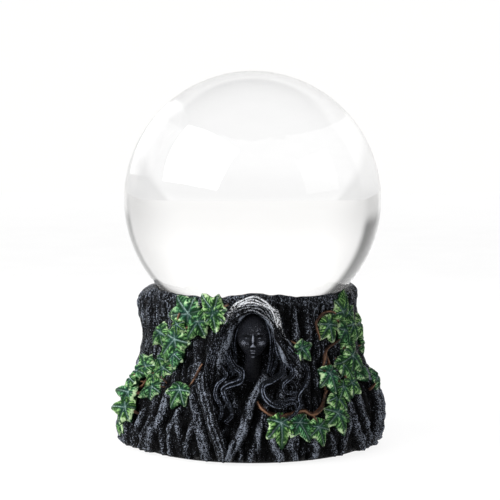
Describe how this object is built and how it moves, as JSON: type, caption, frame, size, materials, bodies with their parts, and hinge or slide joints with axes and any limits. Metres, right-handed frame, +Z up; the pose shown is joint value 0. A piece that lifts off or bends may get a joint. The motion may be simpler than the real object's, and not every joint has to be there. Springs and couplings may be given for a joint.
{
  "type": "crystal ball",
  "caption": "Clear glass ball resting in the socket of a dark cast tree-stump stand with a hooded figure in relief, brown stems and green ivy leaves.",
  "frame": {"origin": "centre of the underside, on the surface the stand rests on", "axes": "+Z up through the ball, -Y the side of the figure, +X to the right of someone who faces the figure"},
  "size_m": [0.1159, 0.1146, 0.16],
  "materials": {
    "ball_glass": "polished, clear",
    "seat_rubber": "soft, matt",
    "felt": "pressed felt",
    "bark_paint": "cast resin, black paint dry-brushed blue grey",
    "cloth_paint": "cast resin, black paint dry-brushed light grey",
    "hair_paint": "cast resin, black paint dry-brushed blue grey, slight sheen",
    "skin_paint": "cast resin, black paint dry-brushed blue grey, smooth",
    "stem_paint": "cast resin, copper brown paint, satin",
    "ivy_paint": "cast resin, green paint with light veins, satin"
  },
  "bodies": {
    "stand": {"base_felt": "felt", "figure_head": "skin_paint", "hair_left_inner": "hair_paint", "hair_left_outer": "hair_paint", "hair_right_curl": "hair_paint", "hair_right_inner": "hair_paint", "hair_right_outer": "hair_paint", "hood_inner_fold": "cloth_paint", "hood_outer_fold": "cloth_paint", "ivy_leaf_01": "ivy_paint", "ivy_leaf_02": "ivy_paint", "ivy_leaf_03": "ivy_paint", "ivy_leaf_04": "ivy_paint", "ivy_leaf_05": "ivy_paint", "ivy_leaf_06": "ivy_paint", "ivy_leaf_07": "ivy_paint", "ivy_leaf_08": "ivy_paint", "ivy_leaf_09": "ivy_paint", "ivy_leaf_10": "ivy_paint", "ivy_leaf_11": "ivy_paint", "ivy_leaf_12": "ivy_paint", "ivy_leaf_13": "ivy_paint", "ivy_leaf_14": "ivy_paint", "ivy_leaf_15": "ivy_paint", "ivy_leaf_16": "ivy_paint", "ivy_leaf_17": "ivy_paint", "ivy_leaf_18": "ivy_paint", "ivy_leaf_19": "ivy_paint", "ivy_leaf_20": "ivy_paint", "ivy_leaf_21": "ivy_paint", "ivy_leaf_22": "ivy_paint", "ivy_leaf_23": "ivy_paint", "ivy_leaf_24": "ivy_paint", "ivy_leaf_25": "ivy_paint", "ivy_leaf_26": "ivy_paint", "ivy_leaf_27": "ivy_paint", "ivy_leaf_28": "ivy_paint", "ivy_leaf_29": "ivy_paint", "ivy_leaf_30": "ivy_paint", "ivy_leaf_31": "ivy_paint", "ivy_leaf_32": "ivy_paint", "ivy_leaf_33": "ivy_paint", "ivy_leaf_34": "ivy_paint", "ivy_leaf_35": "ivy_paint", "ivy_leaf_36": "ivy_paint", "ivy_leaf_37": "ivy_paint", "ivy_spray_back_left": "ivy_paint", "ivy_spray_back_right": "ivy_paint", "ivy_spray_right": "ivy_paint", "seat_ring": "seat_rubber", "shoulder_drape": "cloth_paint", "stump_casting": "bark_paint", "vine_back_left": "stem_paint", "vine_back_right": "stem_paint", "vine_left_lower": "stem_paint", "vine_left_upper": "stem_paint", "vine_right_loop": "stem_paint", "vine_right_lower": "stem_paint", "vine_right_middle": "stem_paint"},
    "ball": {"crystal_ball": "ball_glass"}
  },
  "joints": [
    {"name": "ball_lift", "type": "slide", "parent": "stand", "child": "ball", "axis": [0, 0, 1], "range_m": [0, 0.028]}
  ]
}
